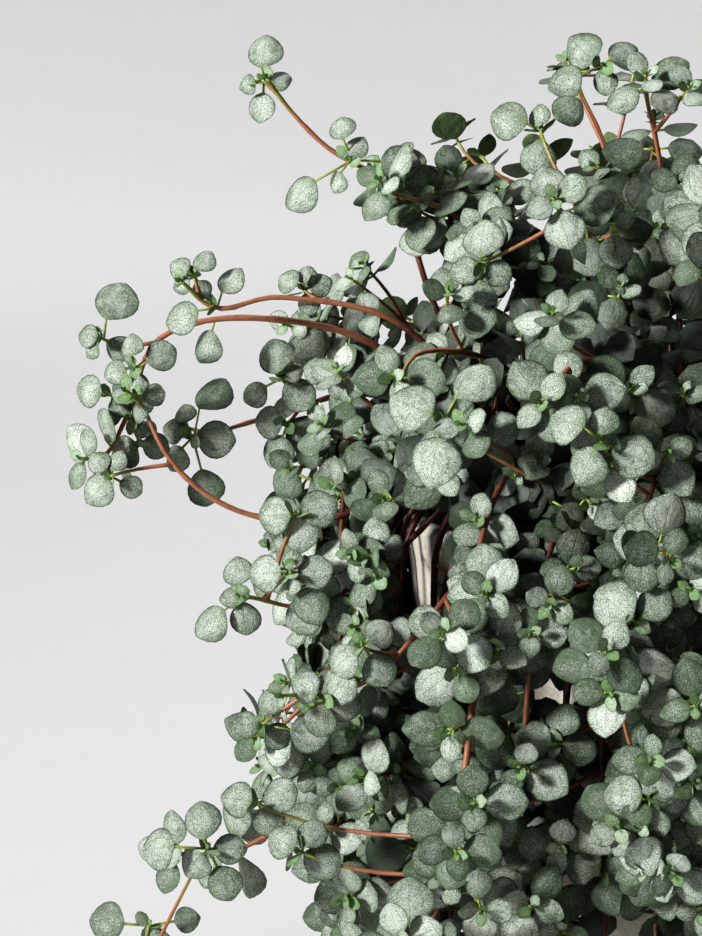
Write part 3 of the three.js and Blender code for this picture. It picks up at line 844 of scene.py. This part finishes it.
def stem_parts(path, leafy_length, seed, keep=0.6, bare_from=NEVER, roll=None, plain_tip=False, placed=()):
    """One rooted stem with its side shoots, stalks and blades.

    It returns groups of (points, faces, skin of each face, ageing and painted shade, tone, u and v of each
    point).
    roll turns its own rosette, in degrees, and a plain tip has none but a bud. placed holds the given
    rosettes, each as its place, its bud's roll and its blades, which come on top of the drawn ones.
    """
    draws = np.random.default_rng(seed)
    path = towards_light(path)
    run = SPACING * np.arange(len(path))
    to_tip = run[-1] - run
    leafy = path[to_tip < leafy_length]
    shoots = side_shoots(path, draws, leafy_length, bare_from)
    vigour = draws.uniform(0.78, 1.0, len(shoots))
    shoot_roll = draws.uniform(0, np.pi, len(shoots))
    length, own_vigour = np.array([SPACING * (len(leafy) - 1)]), np.array([0.95])
    roll = draws.uniform(0, np.pi, 1) if roll is None else np.radians([roll])
    leaves = [
        grow(leafy[None], length, draws, own_vigour, roll, keep, bare_from, plain_tip=plain_tip),
        grow(shoots, path_lengths(shoots), draws, vigour, shoot_roll),
    ]
    if placed:
        twigs = placed_shoots(path, np.array([rosette[0] for rosette in placed], float))
        bud_roll = np.radians([rosette[1] for rosette in placed])
        leaves.append(grow(twigs, path_lengths(twigs), draws, np.ones(len(twigs)), bud_roll, most=2))
        leaves.append(set_leaves(placed, draws))
        shoots = np.concatenate([shoots, twigs])
    return woody_groups(path, to_tip, shoots) + leaf_groups(joined(leaves))


def foliage_piece(name, groups, skins):
    """One object from the groups of one stem or more."""
    points, faces, skin, age_and_shade, tone, uv = ([group[k] for group in groups] for k in range(6))
    sizes = [len(part) for part in points]
    skin = np.concatenate([np.broadcast_to(number, len(part)) for number, part in zip(skin, faces)])
    faces = np.concatenate([part + first for part, first in zip(faces, np.append(0, np.cumsum(sizes)))])
    age_and_shade, tone = (np.concatenate([np.broadcast_to(*pair) for pair in zip(k, sizes)]) for k in (age_and_shade, tone))
    uv = np.concatenate([np.zeros((size, 2)) if part is None else part for part, size in zip(uv, sizes)])
    points = np.concatenate(points)
    piece = mesh_object(name, points, faces, skins, skin, {"age_and_shade": age_and_shade, "tone": tone}, uv)
    sharpen_rims(piece.data, faces, skin)
    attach(piece, "root")
    return piece


def sharpen_rims(mesh, faces, skin):
    """Marks the edges between upper and lower faces sharp, so that each side of a blade is shaded alone."""
    count = len(mesh.vertices)
    on_upper, on_lower = np.zeros(count, bool), np.zeros(count, bool)
    on_upper[faces[skin == SKIN_UPPER].ravel()] = True
    on_lower[faces[skin == SKIN_LOWER].ravel()] = True
    ends = np.empty(2 * len(mesh.edges), np.int32)
    mesh.edges.foreach_get("vertices", ends)
    rim = (on_upper & on_lower)[ends.reshape(-1, 2)].all(1)
    sharp = mesh.attributes.new("sharp_edge", "BOOLEAN", "EDGE")
    sharp.data.foreach_set("value", rim)


# ---- Skins of the leaves and stems ----
# Old blades are grey green under a dense fine silver speckle, with a thin dark rim, and olive beneath.
# Young ones are mint and paler, the buds bright green. Stems are red brown, and green near their tips.
# Deep inside the bush, blades and stems are painted darker, as shade.


def attribute(tree, name):
    """A number that the mesh holds at each point."""
    return tree.node("ShaderNodeAttribute", output=2, attribute_name=name)


def leaf_material(name, green, young, silver, silver_share):
    """Speckled silver over green. The speckle thins at the rim and by the stalk. Deep in the bush, painted
    shade takes away the silver and darkens the green.
    """
    material, tree, finish = new_material(name, Specular_IOR_Level=0.4)
    here = object_coordinates(tree)
    leaf = tree.node("ShaderNodeUVMap", uv_map="Leaf")
    across = abs(tree.node("ShaderNodeSeparateXYZ", {"Vector": leaf}, output=0) * 2 - 1)
    along = tree.node("ShaderNodeSeparateXYZ", {"Vector": leaf}, output=1)
    age_and_shade, tone = attribute(tree, "age_and_shade"), attribute(tree, "tone")
    rim = (across + 2.2 * (along - 0.5) * (along - 0.5) * (1 - across)).rise(0.86, 0.99)
    heel = 1 - (along + 0.35 * across).rise(0.02, 0.28)
    side_vein = abs(across - 2.2 * along * (1 - along))
    veins = 1 - (across.rise(0.0, 0.07) * side_vein.rise(0.0, 0.07))
    grain = tree.noise(here, 0.17, detail=1, roughness=0.6)
    patches = tree.noise(here, 2.4, detail=2)
    middle = 1 - across * across - 4 * (along - 0.5) * (along - 0.5)
    # Painted shade, from the part of the value past 1 that marks blades deep in the bush.
    painted_shade = age_and_shade.rise(1.0, 1.8)
    cover = (grain + 0.3 * patches + 0.24 * tone + 0.12 * middle - 0.40).rise(0.32, 0.66)
    cover = (0.06 + 0.94 * cover) * (0.7 + 0.3 * tone)
    cover = cover * (1 - 0.8 * rim) * (1 - 0.7 * heel) * (1 - 0.3 * veins)
    cover = cover * (0.55 + 0.45 * age_and_shade.rise(0, 0.6)) * (1 - 0.9 * painted_shade) * silver_share
    ground = colour(tree, *young).blend(age_and_shade.rise(0.05, 0.6), (*green, 1))
    ground = ground.blend(heel * 0.5, (0.20, 0.30, 0.07, 1))
    ground = ground.blend(painted_shade * 0.9, (green[0] * 0.14, green[1] * 0.17, green[2] * 0.14, 1))
    ground = ground.blend(rim * 0.7, (green[0] * 0.4, green[1] * 0.4, green[2] * 0.4, 1))
    quilting = tree.noise(here, 1.7, detail=1)
    finish(
        Base_Color=ground.blend(cover, (*silver, 1)),
        Roughness=0.40 + 0.25 * grain,
        bump=0.2 * grain + quilting - 0.1 * veins,
        bump_height=0.0003,
    )
    return material


upper_skin = leaf_material(
    "silver_leaf", (0.048, 0.086, 0.037), (0.13, 0.27, 0.06), (0.57, 0.615, 0.55), silver_share=0.95
)
# The underside's olive is set a little lighter than its own, as painted light that stands in for light
# shining through the blade.
lower_skin = leaf_material(
    "leaf_underside", (0.085, 0.135, 0.05), (0.15, 0.27, 0.08), (0.20, 0.26, 0.16), silver_share=0.4
)

bark, tree, finish = new_material("stem_skin", Roughness=0.42)
fibres = tree.noise(object_coordinates(tree), 1.4, detail=3)
age_and_shade = attribute(tree, "age_and_shade")
green = colour(tree, 0.27, 0.36, 0.06).blend(age_and_shade.rise(0.06, 0.5), (0.35, 0.135, 0.068, 1))
# Painted shade: stems deep in the bush, where the value passes 1, are darkened almost to black.
green = green.blend(age_and_shade.rise(1.0, 1.8), (0.07, 0.018, 0.012, 1))
finish(Base_Color=green.blend(fibres.rise(0.45, 0.7) * 0.5, (0.21, 0.075, 0.038, 1)), bump=fibres)
SKINS = [upper_skin, lower_skin, bark]


# ---- Leafy stems ----
# Each rooted stem grew as one piece with its side shoots and leaves. The sprays at the left have bare
# stretches between a few rosettes, and the others are leafy down to where the bush is dark.

TIER_LEAFY = [75, 75, 75, 85, 90, 110]  # the length of stem, from the tip, that bears leaves in each tier
SPRAY_LEAFY = [80] * 10 + [120, 165]
SPRAY_BARE_FROM = [-46, -68, -72, -78, -74, -64, -66, -80, -72, -80, -80, -74]  # in X, for each spray
SPRAY_ROLL = [0, 30, 60, 20, 0, 45, 30, 0, 60, 30, 0, 45]  # of the rosette at its tip
PLAIN_TIPS = [1, 2, 4, 5, 6, 7]  # the sprays with a rosette of the list below at the tip

# The rosettes of the sprays, as spray, place, roll of the bud in degrees, and blades. A blade is its
# direction from the middle in degrees, seen from the front, its distance, its length and its silver.
ROSETTES = [
    (1, [-88, -6, 197], 0,
     [[88, 5.8, 7.6, 0.6], [-95, 5.2, 6, 0.5], [5, 3.2, 4.8, 0.5], [195, 3.2, 4.4, 0.4]]),
    (1, [-71, -8, 182], 60,
     [[-5, 9.8, 8.2, 0.5], [214, 12, 8.2, 0.5], [107, 6.3, 5.6, 0.5], [60, 2.6, 5, 0.6],
      [239, 5.4, 4.6, 0.5]]),
    (2, [-101, -18, 160], 70, [[150, 3.5, 5, 0.4], [60, 3.5, 5, 0.5], [-60, 3, 4, 0.4], [210, 3, 4, 0.4]]),
    (2, [-97, -17, 154], 30, [[60, 6, 6.2, 0.6], [195, 7, 7.6, 0.5]]),
    (2, [-80, -14, 157], 20,
     [[150, 3.6, 5.6, 0.5], [20, 3.4, 5, 0.5], [-70, 3, 4.6, 0.4], [80, 3, 4.2, 0.5]]),
    (3, [-120, -8, 147], 70, [[70, 8, 8.8, 0.5], [170, 2.6, 4.8, 0.4], [-30, 4, 5.6, 0.5], [230, 3, 4, 0.4]]),
    (3, [-113, -14, 142], 35,
     [[25, 5.6, 6.4, 0.6], [100, 4.4, 5.2, 0.5], [195, 4, 5.4, 0.4], [-85, 3.2, 4.8, 0.5]]),
    (3, [-118, -10, 136], 60, [[170, 4.6, 7.2, 0.6], [30, 3, 5, 0.4], [-60, 3, 4.4, 0.4]]),
    (3, [-114, -8, 131], 10, [[165, 3.8, 5, 0.4], [60, 4, 5, 0.3], [-50, 2.8, 3.8, 0.4]]),
    (3, [-113, -4, 126], 50, [[215, 3.8, 6.8, 0.5], [-20, 3.4, 5.6, 0.5], [60, 3, 4, 0.4]]),
    (4, [-117, -24, 122], 60,
     [[130, 3.8, 5, 0.5], [225, 3.9, 6.8, 0.6], [-30, 4.2, 4.8, 0.4], [70, 3.4, 4.6, 0.5]]),
    (4, [-112, -22, 137], 10, [[160, 3.4, 4.6, 0.4], [10, 3.2, 4.6, 0.5], [-90, 3, 4, 0.4]]),
    (5, [-103, 2, 126], 30,
     [[66, 9.8, 8.4, 0], [-5, 5, 8, 0.9], [160, 3.8, 5.6, 0.5], [105, 5, 5, 0.4], [235, 5.6, 6, 0.6],
      [-77, 10.7, 7.8, 0.1]]),
    (5, [-85, 2, 138], 0,
     [[50, 8.2, 8.4, 0.6], [110, 4.6, 7.6, 0.5], [-45, 5, 7.6, 0.5], [212, 6.2, 5.6, 0.4],
      [20, 2.6, 4.4, 0.5]]),
    (5, [-84, 6, 128], 50,
     [[175, 3.8, 6.8, 0.6], [-35, 4.2, 8.6, 0.5], [100, 3.4, 5, 0.5], [250, 6, 7, 0.4]]),
    (5, [-75, -6, 139], 45, [[160, 3.4, 5.4, 0.5], [40, 3.6, 5.6, 0.6], [-60, 3, 4.6, 0.5]]),
    (6, [-82, -54, 109], 0,
     [[180, 4.7, 7.4, 0.7], [5, 4.5, 6.6, 0.7], [90, 2.6, 4.2, 0.6], [-85, 2.4, 3.8, 0.5],
      [-60, 7.2, 7.6, 0.3]]),
    (6, [-81, -50, 119], 40, [[180, 4.4, 7.8, 0.5], [-85, 3.2, 7.8, 0.8], [20, 4.2, 7.4, 0.5]]),
    (6, [-76, -50, 103], 70, [[215, 4.6, 7.8, 0.4], [-35, 4.4, 7.8, 0.5], [80, 3, 5, 0.6]]),
    (6, [-91, -50, 104], 40,
     [[219, 8, 7.6, 0.5], [-85, 4.4, 6.4, 0.5], [190, 2.4, 4.2, 0.5], [103, 4.9, 6, 0.5]]),
    (6, [-66, -46, 109], 30, [[60, 4, 6, 0.5], [180, 4, 6.4, 0.2], [-90, 3.6, 5, 0.5]]),
    (7, [-69, -66, 98], 30,
     [[218, 4.4, 6.8, 0.6], [-55, 5.4, 6.6, 0.5], [239, 8.7, 7.6, 0.5], [40, 4.3, 5.8, 0.9]]),
    (7, [-87, -60, 82], 30,
     [[75, 4.6, 5.6, 0.5], [-40, 3.4, 5.4, 0.5], [180, 3, 5, 0.4], [-10, 8.6, 7.6, 0.8]]),
    (7, [-76, -64, 88], 70,
     [[150, 4.2, 6.6, 0.5], [-20, 4.2, 6.6, 0.6], [70, 3.2, 5, 0.5], [-100, 4.4, 6.6, 0.4]]),
    (12, [-97, -68, 61], 20,
     [[180, 9.2, 8, 0.6], [100, 5.4, 7.4, 0.5], [232, 4.1, 6.6, 0.6], [0, 4.2, 6.2, 0.5],
      [-65, 7.2, 6.8, 0.2]]),
    (12, [-88, -66, 69], 60, [[170, 4, 7, 0.4], [20, 4.4, 7, 0.5], [-60, 4.2, 6, 0.5]]),
    (12, [-108, -60, 44], 30, [[175, 8, 7.4, 0.1], [-80, 3, 6.4, 0.4], [10, 7, 5, 0.5]]),
    (12, [-80, -70, 61], 0, [[150, 4.2, 7, 0.5], [-30, 4.2, 7.4, 0.5], [60, 4, 6, 0.5]]),
]


def dress_stem(number, parts):
    """The foliage that stands in for one leafy stem of the frame."""
    piece = foliage_piece(f"leafy_stem_{number:02d}_foliage", parts, SKINS)
    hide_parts(f"leafy_stem_{number:02d}")


for index, route in enumerate(routes[: len(SPRAYS)]):
    beside = [rosette[1:] for rosette in ROSETTES if rosette[0] == index + 1]
    plain = index + 1 in PLAIN_TIPS
    bare_from, roll = SPRAY_BARE_FROM[index], SPRAY_ROLL[index]
    parts = stem_parts(route, SPRAY_LEAFY[index], 100 + index, 0.75, bare_from, roll, plain, beside)
    dress_stem(index + 1, parts)

# Large rosettes of the bush that open to the front, each on the stem that runs nearest to it.
FRONT_ROSETTES = [
    ([-55, -62, 138], 20,
     [[150, 6.2, 9.4, 0.6], [52, 9.5, 8.6, 0.7], [-100, 7.4, 9.6, 0.7], [-20, 5.6, 7, 0.5]]),
    ([-28, -84, 138], 0,
     [[152, 6.8, 7.8, 0.5], [85, 3.4, 5.4, 0.4], [-120, 5.4, 7.8, 0.5], [-26, 6, 8, 0.6]]),
    ([-47, -46, 165], 40,
     [[90, 4.8, 8.4, 0.7], [200, 3.8, 5.8, 0.4], [-30, 3.6, 5.2, 0.4], [-100, 6.6, 7.6, 0.3]]),
    ([-47, -72, 110], 10,
     [[190, 4.2, 7.2, 0.5], [10, 3.2, 5.8, 0.4], [-80, 6.8, 7.6, 0.6], [100, 4.8, 7, 0.4]]),
    ([-22, -88, 107], 60,
     [[140, 5, 8.6, 0.6], [45, 4.6, 6.8, 0.4], [-100, 4.6, 8, 0.5], [-75, 10, 8.6, 0.4]]),
    ([-47, -76, 71], 30, [[160, 4, 7.2, 0.5], [30, 4.2, 7.2, 0.4], [-60, 4.6, 7.2, 0.5], [235, 7, 7.2, 0.3]]),
    ([-19, -86, 75], 0, [[170, 5, 7.8, 0.4], [10, 4.2, 7, 0.5], [95, 4, 6.6, 0.5], [-90, 4.6, 7.4, 0.4]]),
    ([-23, -14, 200], 50,
     [[140, 5.2, 8, 0.3], [35, 5, 6.4, 0.3], [200, 7.6, 7.4, 0.3], [-80, 3.2, 5.2, 0.4]]),
    ([-35, -22, 188], 20, [[160, 6.6, 8.2, 0.3], [-100, 4.8, 7, 0.4], [40, 6.6, 6.6, 0.3], [100, 3, 5, 0.4]]),
    ([-34, -70, 81], 0,
     [[170, 4.4, 7.4, 0.4], [-10, 4.2, 7.2, 0.3], [80, 4.6, 6.6, 0.4], [-95, 5, 7.4, 0.2]]),
    ([-26, -74, 58], 40, [[150, 4.4, 7.4, 0.3], [20, 4.2, 7.2, 0.4], [-70, 4.8, 7.4, 0.3]]),
]
beside = {index: [] for index in range(len(SPRAYS), len(routes))}
for rosette in FRONT_ROSETTES:
    nearest = min(beside, key=lambda index: np.linalg.norm(routes[index] - rosette[0], axis=1).min())
    beside[nearest].append(rosette)
tier_of = np.repeat(np.arange(len(TIERS)), [tier[0] for tier in TIERS])
for index, tier in enumerate(tier_of, len(SPRAYS)):
    dress_stem(index + 1, stem_parts(routes[index], TIER_LEAFY[tier], 100 + index, placed=beside[index]))


# ---- Further stems ----
# More stems of the same kind, rooted between those and shorter where the sprays reach out at the left.
# The last of them line the curtain, close to the pot's wall.

FILL = [4, 7, 8, 9, 11, 15]  # more stems in each tier
LEFT_SHORTER = 0.35  # the share by which the stems are shorter at the very left
LEAST_REACH = 72  # from the axis, where the shortening stops
# The lining lies deep in the bush, so its blades are all painted dark as shade.
LINING = 38
LINING_LEAFY = 110
LINING_PROFILE = [[51, SOIL_TOP], [59, 118], [67, 110], [68, 88], [66, 60], [64, 34]]
STEMS_A_PIECE = 5
fill, serial = [], 100
for tier, count in enumerate(FILL):
    for _ in range(count):
        azimuth = 2 * np.pi * (serial * GOLDEN_SHARE % 1)
        left = np.exp(-((np.angle(np.exp(1j * (azimuth - np.pi))) / 0.9) ** 2))
        profile = np.array(TIERS[tier][3], float)
        start = profile[0, 0]
        shorter = start + (profile[:, 0] - start) * (1 - LEFT_SHORTER * left)
        reach = np.maximum(shorter, np.minimum(profile[:, 0], LEAST_REACH))
        route = tier_route(np.stack([reach, profile[:, 1]], 1), azimuth, serial)
        fill.append(stem_parts(route, TIER_LEAFY[tier], 3 * serial))
        serial += 1
for _ in range(LINING):
    azimuth = 2 * np.pi * (serial * GOLDEN_SHARE % 1)
    fill.append(stem_parts(tier_route(LINING_PROFILE, azimuth, serial), LINING_LEAFY, 3 * serial, 1.0))
    serial += 1
for number, start in enumerate(range(0, len(fill), STEMS_A_PIECE)):
    foliage_piece(f"further_stems_{number + 1:02d}", sum(fill[start : start + STEMS_A_PIECE], []), SKINS)
